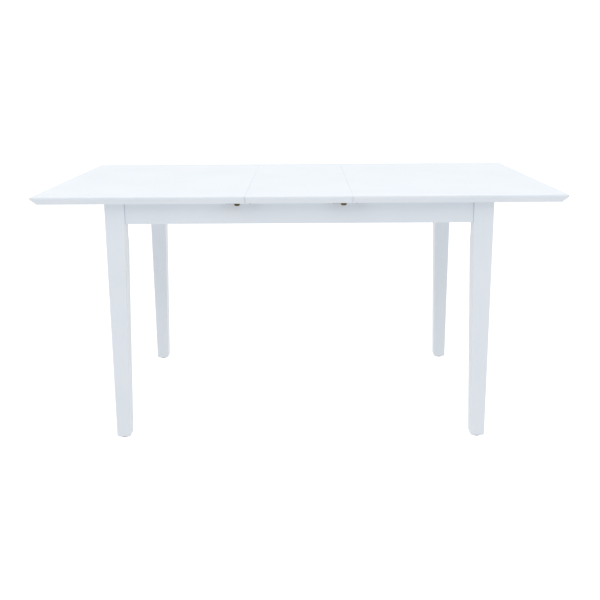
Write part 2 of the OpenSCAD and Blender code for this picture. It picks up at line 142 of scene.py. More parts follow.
# %% White satin lacquer
def white_lacquer(name, grain_axis):
    material, tree, shader = start_material(name)
    place = add_node(tree, "ShaderNodeTexCoord").outputs["Object"]

    drift = add_node(tree, "ShaderNodeTexNoise", {"Vector": place}, {"Scale": per_metre(180), "Detail": 2})
    tone = add_node(tree, "ShaderNodeValToRGB", {"Fac": drift.outputs["Fac"]})
    tone.color_ramp.elements[0].position = 0.3
    tone.color_ramp.elements[0].color = linear("e2e9f0")
    tone.color_ramp.elements[1].position = 0.7
    tone.color_ramp.elements[1].color = linear("e6ecf3")

    # Grain runs along the board: lines 1.2 mm apart and 80 mm long.
    across, along = per_metre(1.2), per_metre(80)
    stretch = [across, across, across]
    stretch["XYZ".index(grain_axis)] = along
    grain_place = add_node(tree, "ShaderNodeMapping", {"Vector": place}, {"Scale": stretch})
    grain = add_node(tree, "ShaderNodeTexNoise", {"Vector": grain_place.outputs["Vector"]},
                     {"Scale": 1.0, "Detail": 3})
    peel = add_node(tree, "ShaderNodeTexNoise", {"Vector": place}, {"Scale": per_metre(1.6), "Detail": 1})
    grain_bump = add_node(tree, "ShaderNodeBump", {"Height": grain.outputs["Fac"]},
                          {"Strength": 0.12, "Distance": 0.03 * MM})
    peel_bump = add_node(tree, "ShaderNodeBump",
                         {"Height": peel.outputs["Fac"], "Normal": grain_bump.outputs["Normal"]},
                         {"Strength": 0.25, "Distance": 0.02 * MM})

    sheen = add_node(tree, "ShaderNodeMapRange", {"Value": grain.outputs["Fac"]},
                     {"To Min": 0.34, "To Max": 0.42})
    tree.links.new(tone.outputs["Color"], shader.inputs["Base Color"])
    tree.links.new(sheen.outputs["Result"], shader.inputs["Roughness"])
    tree.links.new(peel_bump.outputs["Normal"], shader.inputs["Normal"])
    shader.inputs["IOR"].default_value = 1.5
    return material


lacquer_along_x = white_lacquer("white_satin_lacquer_lengthwise", "X")
lacquer_along_y = white_lacquer("white_satin_lacquer_crosswise", "Y")
lacquer_along_z = white_lacquer("white_satin_lacquer_upright", "Z")
print("lacquer:", lacquer_along_x.name, lacquer_along_y.name, lacquer_along_z.name)

# %% [markdown]
# ## Bare beech
# The rails and runners inside are planed beech without a finish, as they are in real tables, because
# lacquer would make the slides stick. Beech is pinkish tan with short dark flecks, a millimetre or two
# long, where the rays of the wood are cut through. Growth rings show only as a slow change of tone. Two
# noises stretched along the grain give the flecks and the rings. Bare wood scatters light: its roughness
# is high, and its IOR is that of cellulose, near 1.5.

# %% Planed beech
def planed_beech(name, grain_axis):
    material, tree, shader = start_material(name)
    place = add_node(tree, "ShaderNodeTexCoord").outputs["Object"]

    def stretched_noise(across, along, detail):
        scale = [per_metre(across)] * 3
        scale["XYZ".index(grain_axis)] = per_metre(along)
        moved = add_node(tree, "ShaderNodeMapping", {"Vector": place}, {"Scale": scale})
        noise = add_node(tree, "ShaderNodeTexNoise", {"Vector": moved.outputs["Vector"]},
                         {"Scale": 1.0, "Detail": detail})
        return noise.outputs["Fac"]

    rings = stretched_noise(9, 160, 3)
    flecks = stretched_noise(0.5, 3.5, 1)
    tone = add_node(tree, "ShaderNodeValToRGB", {"Fac": rings})
    tone.color_ramp.elements[0].position = 0.3
    tone.color_ramp.elements[0].color = linear("c7a681")
    tone.color_ramp.elements[1].position = 0.7
    tone.color_ramp.elements[1].color = linear("dfc3a0")
    fleck_share = add_node(tree, "ShaderNodeMapRange", {"Value": flecks},
                           {"From Min": 0.62, "From Max": 0.72, "To Max": 0.45})
    colour = add_node(tree, "ShaderNodeMix", {"Factor": fleck_share.outputs["Result"],
                                              "A": tone.outputs["Color"]}, data_type="RGBA")
    colour.inputs["B"].default_value = linear("987150")
    bump = add_node(tree, "ShaderNodeBump", {"Height": flecks}, {"Strength": 0.3, "Distance": 0.05 * MM})
    tree.links.new(colour.outputs["Result"], shader.inputs["Base Color"])
    tree.links.new(bump.outputs["Normal"], shader.inputs["Normal"])
    shader.inputs["Roughness"].default_value = 0.62
    shader.inputs["IOR"].default_value = 1.5
    return material


beech_along_x = planed_beech("planed_beech_lengthwise", "X")
beech_along_y = planed_beech("planed_beech_crosswise", "Y")
print("beech:", beech_along_x.name, beech_along_y.name)

# %% [markdown]
# ## Zinc-plated steel
# Screws, brackets and bolts are mild steel with a bright electroplated zinc coat. Zinc is a bluish grey
# metal, and the passivation that protects it drifts faintly from blue to straw. The plating is smooth but
# satiny, and its film thickness varies, so the roughness wanders a little. It is a metal, so it keeps the
# shader's own IOR.

# %% Bright zinc plating
def zinc_plating():
    material, tree, shader = start_material("bright_zinc_plating")
    place = add_node(tree, "ShaderNodeTexCoord").outputs["Object"]
    film = add_node(tree, "ShaderNodeTexNoise", {"Vector": place}, {"Scale": per_metre(7), "Detail": 3})
    tint = add_node(tree, "ShaderNodeValToRGB", {"Fac": film.outputs["Fac"]})
    tint.color_ramp.elements[0].position = 0.35
    tint.color_ramp.elements[0].color = linear("aab2b9")
    tint.color_ramp.elements[1].position = 0.65
    tint.color_ramp.elements[1].color = linear("c3c2b6")
    grain = add_node(tree, "ShaderNodeTexNoise", {"Vector": place}, {"Scale": per_metre(0.4), "Detail": 2})
    satin = add_node(tree, "ShaderNodeMapRange", {"Value": grain.outputs["Fac"]},
                     {"To Min": 0.26, "To Max": 0.42})
    bump = add_node(tree, "ShaderNodeBump", {"Height": grain.outputs["Fac"]},
                    {"Strength": 0.15, "Distance": 0.02 * MM})
    tree.links.new(tint.outputs["Color"], shader.inputs["Base Color"])
    tree.links.new(satin.outputs["Result"], shader.inputs["Roughness"])
    tree.links.new(bump.outputs["Normal"], shader.inputs["Normal"])
    shader.inputs["Metallic"].default_value = 1.0
    return material


zinc = zinc_plating()
print("zinc:", zinc.name)

# %% [markdown]
# ## Aged brass
# The latches are brass plated and have been left to darken. Tarnish is an oxide skin: it turns the warm
# yellow of the alloy to olive brown, and it grows in patches that are also rougher than the bare metal.
# One noise drives both colour and roughness, because on the real thing they are the same film.

# %% Tarnished brass
def tarnished_brass():
    material, tree, shader = start_material("tarnished_brass_plate")
    place = add_node(tree, "ShaderNodeTexCoord").outputs["Object"]
    film = add_node(tree, "ShaderNodeTexNoise", {"Vector": place}, {"Scale": per_metre(3), "Detail": 5})
    tarnish = add_node(tree, "ShaderNodeMapRange", {"Value": film.outputs["Fac"]},
                       {"From Min": 0.35, "From Max": 0.65})
    colour = add_node(tree, "ShaderNodeMix", {"Factor": tarnish.outputs["Result"]}, data_type="RGBA")
    colour.inputs["A"].default_value = linear("7f7246")
    colour.inputs["B"].default_value = linear("463f28")
    satin = add_node(tree, "ShaderNodeMapRange", {"Value": tarnish.outputs["Result"]},
                     {"To Min": 0.25, "To Max": 0.5})
    pits = add_node(tree, "ShaderNodeTexNoise", {"Vector": place}, {"Scale": per_metre(0.3), "Detail": 2})
    bump = add_node(tree, "ShaderNodeBump", {"Height": pits.outputs["Fac"]},
                    {"Strength": 0.2, "Distance": 0.02 * MM})
    tree.links.new(colour.outputs["Result"], shader.inputs["Base Color"])
    tree.links.new(satin.outputs["Result"], shader.inputs["Roughness"])
    tree.links.new(bump.outputs["Normal"], shader.inputs["Normal"])
    shader.inputs["Metallic"].default_value = 1.0
    return material


brass = tarnished_brass()
print("brass:", brass.name)

# %% [markdown]
# ## Nylon and felt
# The glides under the feet are injection moulded nylon. The mould was spark eroded, which leaves a fine
# even texture about a third of a millimetre wide. The pads under the panels are pressed wool felt: fibres
# of many greys lying in all directions, matt, with a soft sheen at grazing angles from the fibres' ends.

# %% Moulded nylon and pressed felt
def moulded_nylon():
    material, tree, shader = start_material("moulded_nylon")
    place = add_node(tree, "ShaderNodeTexCoord").outputs["Object"]
    texture = add_node(tree, "ShaderNodeTexNoise", {"Vector": place}, {"Scale": per_metre(0.35), "Detail": 1})
    tone = add_node(tree, "ShaderNodeValToRGB", {"Fac": texture.outputs["Fac"]})
    tone.color_ramp.elements[0].color = linear("96989b")
    tone.color_ramp.elements[1].color = linear("abadb0")
    bump = add_node(tree, "ShaderNodeBump", {"Height": texture.outputs["Fac"]},
                    {"Strength": 0.4, "Distance": 0.05 * MM})
    tree.links.new(tone.outputs["Color"], shader.inputs["Base Color"])
    tree.links.new(bump.outputs["Normal"], shader.inputs["Normal"])
    shader.inputs["Roughness"].default_value = 0.5
    shader.inputs["IOR"].default_value = 1.53
    return material


def pressed_felt():
    material, tree, shader = start_material("pressed_wool_felt")
    place = add_node(tree, "ShaderNodeTexCoord").outputs["Object"]
    fibres = add_node(tree, "ShaderNodeTexNoise", {"Vector": place},
                      {"Scale": per_metre(0.6), "Detail": 6, "Distortion": 2.5})
    tone = add_node(tree, "ShaderNodeValToRGB", {"Fac": fibres.outputs["Fac"]})
    tone.color_ramp.elements[0].position = 0.3
    tone.color_ramp.elements[0].color = linear("9c9890")
    tone.color_ramp.elements[1].position = 0.7
    tone.color_ramp.elements[1].color = linear("d6d2c9")
    bump = add_node(tree, "ShaderNodeBump", {"Height": fibres.outputs["Fac"]},
                    {"Strength": 0.8, "Distance": 0.2 * MM})
    tree.links.new(tone.outputs["Color"], shader.inputs["Base Color"])
    tree.links.new(bump.outputs["Normal"], shader.inputs["Normal"])
    shader.inputs["Roughness"].default_value = 0.95
    shader.inputs["Sheen Weight"].default_value = 0.3
    return material


nylon = moulded_nylon()
felt = pressed_felt()
print("soft finishes:", nylon.name, felt.name)

# %% [markdown]
# ## The studio
# White furniture is shot in a white room, lit softly from all sides and more from above and from both
# ends, so that the top reads brightest and the front faces a step darker. The floor glows a little of
# itself: a real studio floor is lit by its own lamps for the same reason, to thin the shadows. How white
# the room looks is set apart from how much light it gives, with a Light Path node, because a white room
# that gave all that light would bleach a white table.

# %% Studio
SKY_STRENGTH = 0.33
ZENITH_STRENGTH = 0.77
SIDE_STRENGTH = 0.3
FLOOR_GLOW = 0.71
BACKDROP_GLOW = 0.95
STUDIO_WHITE = 0.95
FRONT_SOFTBOX_WATTS = 19
PAPER_GREY = 0.2
SHEET_SIZE = 40
BACKDROP_DISTANCE = 9
LAMPS_AIM_AT = Vector((0, 0, 0.6))


def light_sky():
    """A white sky. Its light grows stronger towards the zenith and towards both ends of the table."""
    world = bpy.data.worlds.new("studio_sky")
    bpy.context.scene.world = world
    world.use_nodes = True
    tree = world.node_tree
    direction = add_node(tree, "ShaderNodeTexCoord").outputs["Generated"]
    parts = add_node(tree, "ShaderNodeSeparateXYZ", {"Vector": direction}).outputs
    upward = add_node(tree, "ShaderNodeMapRange", {"Value": parts["Z"]},
                      {"To Min": SKY_STRENGTH, "To Max": SKY_STRENGTH + ZENITH_STRENGTH})
    sideways = add_node(tree, "ShaderNodeMath", {0: parts["X"], 1: parts["X"]}, operation="MULTIPLY")
    glow = add_node(tree, "ShaderNodeMath", {0: sideways.outputs[0], 2: upward.outputs["Result"]},
                    {1: SIDE_STRENGTH}, operation="MULTIPLY_ADD")
    seen = add_node(tree, "ShaderNodeLightPath").outputs["Is Camera Ray"]
    strength = add_node(tree, "ShaderNodeMapRange", {"Value": seen, "To Min": glow.outputs[0]},
                        {"To Max": STUDIO_WHITE})
    tree.links.new(strength.outputs["Result"], tree.nodes["Background"].inputs["Strength"])
    tree.nodes["Background"].inputs["Color"].default_value = linear("ffffff")


def studio_sheet(name, place, turn, glow):
    """A large sheet of pale paper. It looks white, and gives the table the softer light set by its glow."""
    material, tree, shader = start_material(name + "_paper")
    shader.inputs["Base Color"].default_value = (PAPER_GREY, PAPER_GREY, PAPER_GREY, 1)
    shader.inputs["Roughness"].default_value = 0.9
    shader.inputs["Emission Color"].default_value = linear("ffffff")
    seen = add_node(tree, "ShaderNodeLightPath").outputs["Is Camera Ray"]
    strength = add_node(tree, "ShaderNodeMapRange", {"Value": seen},
                        {"To Min": glow, "To Max": STUDIO_WHITE})
    tree.links.new(strength.outputs["Result"], shader.inputs["Emission Strength"])
    bpy.ops.mesh.primitive_plane_add(size=SHEET_SIZE, location=place, rotation=(math.radians(turn), 0, 0))
    sheet = bpy.context.object
    sheet.name = name
    sheet.data.materials.append(material)


def softbox(name, place, width, depth, watts):
    """A rectangular lamp that points at the middle of the table."""
    lamp = bpy.data.lights.new(name, "AREA")
    lamp.shape = "RECTANGLE"
    lamp.size, lamp.size_y, lamp.energy = width, depth, watts
    box = bpy.data.objects.new(name, lamp)
    bpy.context.scene.collection.objects.link(box)
    box.location = place
    box.rotation_euler = (LAMPS_AIM_AT - Vector(place)).to_track_quat("-Z", "Y").to_euler()


bpy.context.scene.view_settings.view_transform = "Standard"
light_sky()
studio_sheet("studio_floor", (0, 0, 0), 0, FLOOR_GLOW)
studio_sheet("studio_backdrop", (0, BACKDROP_DISTANCE, 0), 90, BACKDROP_GLOW)
softbox("front_softbox", (0, -2.6, 3.0), 4, 2, FRONT_SOFTBOX_WATTS)
print("studio: sky, floor, backdrop and a softbox")

# %% [markdown]
# ## Shaping wood
# Real joinery has no sharp edge: even a "square" edge is eased with sandpaper by a millimetre or so, and
# that small curve is what catches the light. A Bevel modifier could ease a finished box, but these parts
# taper, and their edges have different radii. So each one is lofted: an outline is drawn, its corners are
# rounded by a fillet function, and copies of it are stacked into rings that are joined with quads.

# %% Outline and loft helpers
def fillet(points, radii, steps=4):
    """Rounds each corner of a closed outline with its own radius. A radius of 0 keeps the corner."""
    outline = []
    for i, (corner, radius) in enumerate(zip(points, radii)):
        corner = Vector(corner)
        to_last = (Vector(points[i - 1]) - corner).normalized()
        to_next = (Vector(points[(i + 1) % len(points)]) - corner).normalized()
        if radius == 0:
            outline.append(corner)
            continue
        half = to_last.angle(to_next) / 2
        centre = corner + (to_last + to_next).normalized() * radius / math.sin(half)
        first = corner + to_last * radius / math.tan(half) - centre
        last = corner + to_next * radius / math.tan(half) - centre
        sweep = first.angle(last)
        for step in range(steps + 1):
            share = step / steps
            outline.append(centre + (first * math.sin((1 - share) * sweep)
                                     + last * math.sin(share * sweep)) / math.sin(sweep))
    return outline


def mesh_piece(name, bm, crease=32):
    """Turns a bmesh into an object. Edges above the crease angle, in degrees, stay sharp, and large flat
    faces keep their own normal, so that only the narrow curves between them are shaded as curves."""
    bmesh.ops.recalc_face_normals(bm, faces=bm.faces)
    mesh = bpy.data.meshes.new(name)
    bm.to_mesh(mesh)
    bm.free()
    mesh.shade_smooth()
    mesh.set_sharp_from_angle(angle=math.radians(crease))
    piece = bpy.data.objects.new(name, mesh)
    bpy.context.scene.collection.objects.link(piece)
    flatten = piece.modifiers.new("weighted_normals", "WEIGHTED_NORMAL")
    flatten.keep_sharp = True
    flatten.weight = 100
    return piece


def add_loft(bm, rings, ends="closed"):
    """Joins rings of points with quads. The ends are closed, left open, or joined to each other."""
    loops = [[bm.verts.new(point) for point in ring] for ring in rings]
    pairs = list(zip(loops, loops[1:]))
    if ends == "joined":
        pairs.append((loops[-1], loops[0]))
    for low, high in pairs:
        for i in range(len(low)):
            j = (i + 1) % len(low)
            bm.faces.new((low[i], low[j], high[j], high[i]))
    if ends == "closed":
        bm.faces.new(loops[0])
        bm.faces.new(loops[-1])
    return loops


BODY_OF = {node: body for body, nodes in frame["record"]["behaviour"]["bodies"].items() for node in nodes}


def stand_in(piece, node, material):
    """Gives a piece its finish and lets it take the place of a CAD node."""
    piece.data.materials.append(material)
    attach(piece, BODY_OF[node])
    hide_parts(node)
    return piece


print("a corner with a 3 mm round has", len(fillet([(0, 0), (1, 0), (1, 1)], [3 * MM, 0, 0])) - 2, "points")

# %% [markdown]
# ## The top
# The three panels share one moulded edge: a small round-over above, a narrow upright land, and a wide
# bevel underneath that makes a 22 mm board look thin from where people stand. The edges that meet at a
# seam are cut square. They are barely eased above, where a crumb could lodge, and more at the front and
# rear, so a closed seam shows as a hairline on top and as a fine notch in the moulded edge.

# %% Top panels
BEVEL_WIDTH = 16 * MM
EDGE_LAND = 6 * MM
ROUND_OVER = 3 * MM
CORNER_RADIUS = 10 * MM
SEAM_EASE = 0.2 * MM
SEAM_CORNER = 2.2 * MM
UNDERSIDE_EASE = 1.2 * MM
BEVEL_EASE = 1.5 * MM
FLAT_MARGIN = 30 * MM
FLAT_MARGIN_AT_SEAM = 5 * MM


def edge_stations(thickness):
    """The moulded edge as (distance in from the edge, height) from the underside to the top face."""
    corners = [(FLAT_MARGIN, 0), (BEVEL_WIDTH, 0), (0, thickness - EDGE_LAND), (0, thickness),
               (FLAT_MARGIN, thickness)]
    return fillet(corners, [0, UNDERSIDE_EASE, BEVEL_EASE, ROUND_OVER, 0], steps=6)


def seam_inset(station, thickness):
    """How far the eased seam edge stands back at a station's height."""
    inset, height = station
    if inset == FLAT_MARGIN:
        return FLAT_MARGIN_AT_SEAM
    depth = min(height, thickness - height, SEAM_EASE)
    return SEAM_EASE - math.sqrt(SEAM_EASE ** 2 - (SEAM_EASE - depth) ** 2)


def top_panel(node, seam_left, seam_right):
    low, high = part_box(node)
    thickness = high.z - low.z
    rings = []
    for station in edge_stations(thickness):
        inset, seam = station[0], seam_inset(station, thickness)
        left = low.x + (seam if seam_left else inset)
        right = high.x - (seam if seam_right else inset)
        front, rear = low.y + inset, high.y - inset
        outer = max(CORNER_RADIUS - inset, 1 * MM)
        at_left = SEAM_CORNER if seam_left else outer
        at_right = SEAM_CORNER if seam_right else outer
        outline = fillet([(left, front), (right, front), (right, rear), (left, rear)],
                         [at_left, at_right, at_right, at_left], steps=6)
        rings.append([(x, y, low.z + station[1]) for x, y in outline])
    bm = bmesh.new()
    add_loft(bm, rings)
    return stand_in(mesh_piece(node + "_lacquered", bm), node, lacquer_along_x)


panels = [top_panel("top_left", False, True), top_panel("extension_leaf", True, True),
          top_panel("top_right", True, False)]
print("top panels:", [(panel.name, len(panel.data.polygons)) for panel in panels])

# %% [markdown]
# ## Legs
# A tapered leg is a square blank with its two inner faces planed down below the aprons, so that the outer
# faces stay upright. Its inner corner has a flat for the bracket bolt, which a router leaves with a curved
# run-out. The loft follows those cuts ring by ring, closely where the run-out curves and widely elsewhere.

# %% Tapered legs
FOOT_SIDE = 40 * MM
FOOT_CHAMFER = 4 * MM
CORNER_FLAT = 14 * MM
FLAT_DROP = 20 * MM
FLAT_CURVE = 120 * MM
RUN_OUT_LENGTH = 50 * MM
RUN_OUT_STEP = 2.5 * MM
ARRIS = 1.4 * MM
TOP_EASE = 1 * MM
DIAGONAL = math.sqrt(2)
CORNERS = ("front_left", "front_right", "rear_left", "rear_right")
apron_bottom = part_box("apron_front")[0].z


def leg_side(height, side_at_top):
    """Width of the leg at a height."""
    share = min(1, height / apron_bottom)
    return FOOT_SIDE + (side_at_top - FOOT_SIDE) * share


def leg_flat(height, side_at_top):
    """Size of the corner flat along either face at a height, with its curved run-out."""
    below = max(0, apron_bottom - FLAT_DROP - height)
    curve = FLAT_CURVE - math.sqrt(max(0, FLAT_CURVE ** 2 - min(below, FLAT_CURVE) ** 2))
    flat_plane = (2 * side_at_top - CORNER_FLAT) / DIAGONAL + curve
    reach = DIAGONAL * leg_side(height, side_at_top)
    return max((reach - flat_plane) * DIAGONAL, 1.2 * MM)


def leg_heights(low, high):
    """Heights of the rings: chamfer, long taper, run-out, knee and top."""
    taper_low, run_low = low + FOOT_CHAMFER, apron_bottom - FLAT_DROP - RUN_OUT_LENGTH
    steps = round(RUN_OUT_LENGTH / RUN_OUT_STEP)
    chamfer = [low, low + FOOT_CHAMFER * 0.85]
    taper = [taper_low + i * (run_low - taper_low) / 10 for i in range(11)]
    run_out = [run_low + i * RUN_OUT_STEP for i in range(1, steps + 1)]
    return chamfer + taper + run_out + [apron_bottom - 2 * MM, apron_bottom, high - TOP_EASE, high]


def leg(node):
    low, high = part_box(node)
    side_at_top = high.x - low.x
    right, rear = low.x > 0, low.y > 0
    rings = []
    for height in leg_heights(low.z, high.z):
        side = leg_side(height, side_at_top)
        flat = leg_flat(height, side_at_top)
        shrink = max(0, FOOT_CHAMFER - (height - low.z)) + (TOP_EASE if height == high.z else 0)
        corners = [(shrink, shrink), (side - shrink, shrink), (side - shrink, side - shrink - flat),
                   (side - shrink - flat, side - shrink), (shrink, side - shrink)]
        ease = min(ARRIS, flat * 0.4)
        outline = fillet(corners, [ARRIS, ARRIS, ease, ease, ARRIS])
        rings.append([(high.x - u if right else low.x + u, high.y - v if rear else low.y + v, height)
                      for u, v in outline])
    bm = bmesh.new()
    add_loft(bm, rings)
    return stand_in(mesh_piece(node + "_lacquered", bm), node, lacquer_along_z)


legs = [leg("leg_" + corner) for corner in CORNERS]
print("legs:", [(piece.name, len(piece.data.polygons)) for piece in legs])

# %% [markdown]
# ## Aprons and rails
# These are straight lengths of planed wood, so each is one outline drawn across the grain and pulled
# along it. The aprons' edges are eased and lacquered, and their ends are chamfered where they butt against
# a leg: lacquer cracks along such a joint, and a small groove hides the crack.

# %% Straight lengths of wood
def length_of_wood(node, axis, outline, end_ease):
    """Pulls an outline along X or Y between the ends of a CAD node, with slightly eased ends."""
    low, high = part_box(node)
    along = "XYZ".index(axis)
    middle = Vector((sum(u for u, v in outline), sum(v for u, v in outline))) / len(outline)
    rings = []
    for place, ease in ((low[along], end_ease), (low[along] + end_ease, 0),
                        (high[along] - end_ease, 0), (high[along], end_ease)):
        ring = []
        for u, v in outline:
            u -= math.copysign(ease, u - middle.x)
            v -= math.copysign(ease, v - middle.y)
            ring.append((place, u, v) if axis == "X" else (u, place, v))
        rings.append(ring)
    bm = bmesh.new()
    add_loft(bm, rings)
    return bm


def rectangle(u0, u1, v0, v1, radius):
    return fillet([(u0, v0), (u1, v0), (u1, v1), (u0, v1)], [radius] * 4)


APRON_END_EASE = 1 * MM


def apron(node, axis):
    low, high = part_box(node)
    across = 1 if axis == "X" else 0
    outline = rectangle(low[across], high[across], low.z, high.z, 1.2 * MM)
    material = lacquer_along_x if axis == "X" else lacquer_along_y
    bm = length_of_wood(node, axis, outline, APRON_END_EASE)
    return stand_in(mesh_piece(node + "_lacquered", bm), node, material)


aprons = [apron("apron_front", "X"), apron("apron_rear", "X"), apron("apron_left", "Y"),
          apron("apron_right", "Y")]
print("aprons:", [(piece.name, len(piece.data.polygons)) for piece in aprons])

# %% [markdown]
# ## Inner woodwork
# The end panels travel on runners whose tongues slide in grooved guide rails. Only the outline differs
# from a plain board: a groove or a tongue is four more corners in it, and everything else is the same.
# The corners that the plane and the saw leave are eased by about half a millimetre.

# %% Guide rails, runners and cross rails
RAIL_GROOVE_LOW = 11 * MM
RAIL_GROOVE_HEIGHT = 8.8 * MM
RAIL_GROOVE_DEPTH = 7.4 * MM
RUNNER_WIDTH = 24 * MM
TONGUE_CLEARANCE = 0.4 * MM
BOARD_EASE = 0.6 * MM
GROOVE_EASE = 0.3 * MM
groove_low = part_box("guide_rail_front")[0].z + RAIL_GROOVE_LOW
groove_high = groove_low + RAIL_GROOVE_HEIGHT


def facing_front(outline):
    """Mirrors an outline drawn for the rear side of the table."""
    return [(-y, z) for y, z in reversed(outline)]


def guide_rail(node):
    low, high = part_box(node)
    inner, outer = min(abs(low.y), abs(high.y)), max(abs(low.y), abs(high.y))
    floor = inner + RAIL_GROOVE_DEPTH
    corners = [(inner, low.z), (outer, low.z), (outer, high.z), (inner, high.z), (inner, groove_high),
               (floor, groove_high), (floor, groove_low), (inner, groove_low)]
    outline = fillet(corners, [BOARD_EASE] * 5 + [GROOVE_EASE] * 2 + [BOARD_EASE], steps=2)
    outline = outline if low.y > 0 else facing_front(outline)
    bm = length_of_wood(node, "X", outline, GROOVE_EASE)
    return stand_in(mesh_piece(node + "_beech", bm), node, beech_along_x)


def runner(node):
    low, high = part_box(node)
    inner, tip = min(abs(low.y), abs(high.y)), max(abs(low.y), abs(high.y))
    outer = inner + RUNNER_WIDTH
    tongue_low, tongue_high = groove_low + TONGUE_CLEARANCE, groove_high - TONGUE_CLEARANCE
    corners = [(inner, low.z), (outer, low.z), (outer, tongue_low), (tip, tongue_low), (tip, tongue_high),
               (outer, tongue_high), (outer, high.z), (inner, high.z)]
    eases = [BOARD_EASE] * 2 + [GROOVE_EASE] + [BOARD_EASE] * 2 + [GROOVE_EASE] + [BOARD_EASE] * 2
    outline = fillet(corners, eases, steps=2)
    outline = outline if low.y > 0 else facing_front(outline)
    bm = length_of_wood(node, "X", outline, BOARD_EASE)
    return stand_in(mesh_piece(node + "_beech", bm), node, beech_along_x)


def cross_rail(node):
    low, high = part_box(node)
    bm = length_of_wood(node, "Y", rectangle(low.x, high.x, low.z, high.z, 1 * MM), 0.1 * MM)
    return stand_in(mesh_piece(node + "_beech", bm), node, beech_along_y)


rails = [guide_rail("guide_rail_front"), guide_rail("guide_rail_rear")]
rails += [runner(f"runner_{end}_{side}") for end in ("left", "right") for side in ("front", "rear")]
rails += [cross_rail("cross_rail_left"), cross_rail("cross_rail_right")]
print("inner woodwork:", [piece.name for piece in rails])

# %% [markdown]
# ## Flat and turned pieces
# Almost all small hardware is either cut from sheet or turned on a lathe. A plate is an outline lofted
# between two faces, with a quarter round at each edge, and its holes are outlines too. A turned piece is
# a list of stations along its axis, each with a radius. The radius may also be a function of the angle:
# that one idea gives screw threads, cross recesses and fluted dowels.

# %% Plate and turning helpers
def grow(outline, distance):
    """Moves every side of a counter-clockwise outline outward."""
    moved = []
    for i, point in enumerate(outline):
        first = (Vector(point) - Vector(outline[i - 1])).normalized()
        second = (Vector(outline[(i + 1) % len(outline)]) - Vector(point)).normalized()
        outward = Vector((first.y + second.y, -first.x - second.x)).normalized()
        moved.append(Vector(point) + outward * distance / max(outward.dot((first.y, -first.x)), 0.3))
    return moved


def rounded_side(low, high, ease, steps=3):
    """(height, inset) stations up a side whose two edges are rounded."""
    turns = [math.radians(90) * step / steps for step in range(steps + 1)]
    under = [(low + ease * (1 - math.cos(turn)), ease * (1 - math.sin(turn))) for turn in turns]
    return under + [(low + high - height, inset) for height, inset in reversed(under)]


def add_plate(bm, outline, low, high, ease, holes=(), place=Matrix()):
    """A flat plate with rounded edges and eased holes. Its outlines run counter-clockwise."""
    rims = ([], [])
    for loop, side in [(outline, -1)] + [(hole, 1) for hole in holes]:
        rings = [[place @ Vector((*point, height)) for point in grow(loop, side * inset)]
                 for height, inset in rounded_side(low, high, ease)]
        loops = add_loft(bm, rings, "open")
        rims[0].append(loops[0])
        rims[1].append(loops[-1])
    for rim in rims:
        if not holes:
            bm.faces.new(rim[0])
            continue
        edges = [bm.edges.get((loop[i - 1], loop[i])) for loop in rim for i in range(len(loop))]
        bmesh.ops.triangle_fill(bm, use_beauty=True, edges=edges)


def arc(centre, radius, start, end, steps):
    """Points along an arc between two angles in degrees."""
    angles = [math.radians(start + (end - start) * step / steps) for step in range(steps + 1)]
    return [Vector((centre[0] + radius * math.cos(a), centre[1] + radius * math.sin(a))) for a in angles]


def circle(centre, radius, steps=24):
    return arc(centre, radius, 0, 360, steps)[:-1]


EVEN_ANGLES = [math.radians(10) * i for i in range(36)]


def add_turned(bm, stations, place=Matrix(), angles=EVEN_ANGLES, ends="closed"):
    """Turns (height, radius) stations about the local Z axis. A radius may be a function of the angle."""
    rings = []
    for height, radius in stations:
        reach = radius if callable(radius) else (lambda angle, r=radius: r)
        rings.append([place @ Vector((reach(a) * math.cos(a), reach(a) * math.sin(a), height))
                      for a in angles])
    add_loft(bm, rings, ends)


def aimed(point, way):
    """The matrix that puts local Z along a direction at a point."""
    return Matrix.Translation(point) @ Vector(way).to_track_quat("Z", "Y").to_matrix().to_4x4()


def solids_of(node):
    """The box of each separate solid in a CAD node, as (low, high)."""
    bm = bmesh.new()
    bm.from_mesh(frame["nodes"][node].data)
    bmesh.ops.remove_doubles(bm, verts=bm.verts, dist=0.01 * MM)
    boxes, seen = [], set()
    for start in bm.verts:
        if start in seen:
            continue
        solid, waiting = [], [start]
        seen.add(start)
        while waiting:
            vertex = waiting.pop()
            solid.append(vertex.co)
            others = {edge.other_vert(vertex) for edge in vertex.link_edges} - seen
            seen |= others
            waiting += sorted(others, key=lambda other: other.index)
        boxes.append((Vector([min(co[i] for co in solid) for i in range(3)]),
                      Vector([max(co[i] for co in solid) for i in range(3)])))
    bm.free()
    return boxes


def measured(low, high):
    """A solid's size, its middle, and the direction of its long side."""
    size = high - low
    way = Vector((0, 0, 0))
    way[max(range(3), key=lambda i: size[i])] = 1
    return size, (low + high) / 2, way


print("solids in one CAD node:", len(solids_of("guide_rail_screws")), "guide rail screws")

# %% [markdown]
# ## Screws
# Every screw here is a countersunk wood screw with a cross recess. Its place, size and direction come
# from the boxes of the CAD solids: the long side is the axis, and the head looks down or towards the
# middle of the table, where the driver came from. The recess is real depth, because a drawn cross would
# vanish in a side light. The thread is drawn as rings, since all of it is buried in the wood.

# %% Countersunk screws
HEAD_PROUD = 0.12 * MM
THREAD_PITCH = 2.2 * MM


def recess_angles(arm, half_width):
    """Angles for a turned cross recess: its corners, and points between them."""
    corner = math.atan(half_width / arm)
    quarter = [-math.radians(45), -math.radians(30), -corner, 0, corner, math.radians(30)]
    return [math.radians(90) * turn + angle for turn in range(4) for angle in quarter]


def cross_radius(arm, half_width):
    def radius(angle):
        within = (angle + math.radians(45)) % math.radians(90) - math.radians(45)
        return min(arm / math.cos(within), half_width / max(abs(math.sin(within)), 1e-6))
    return radius


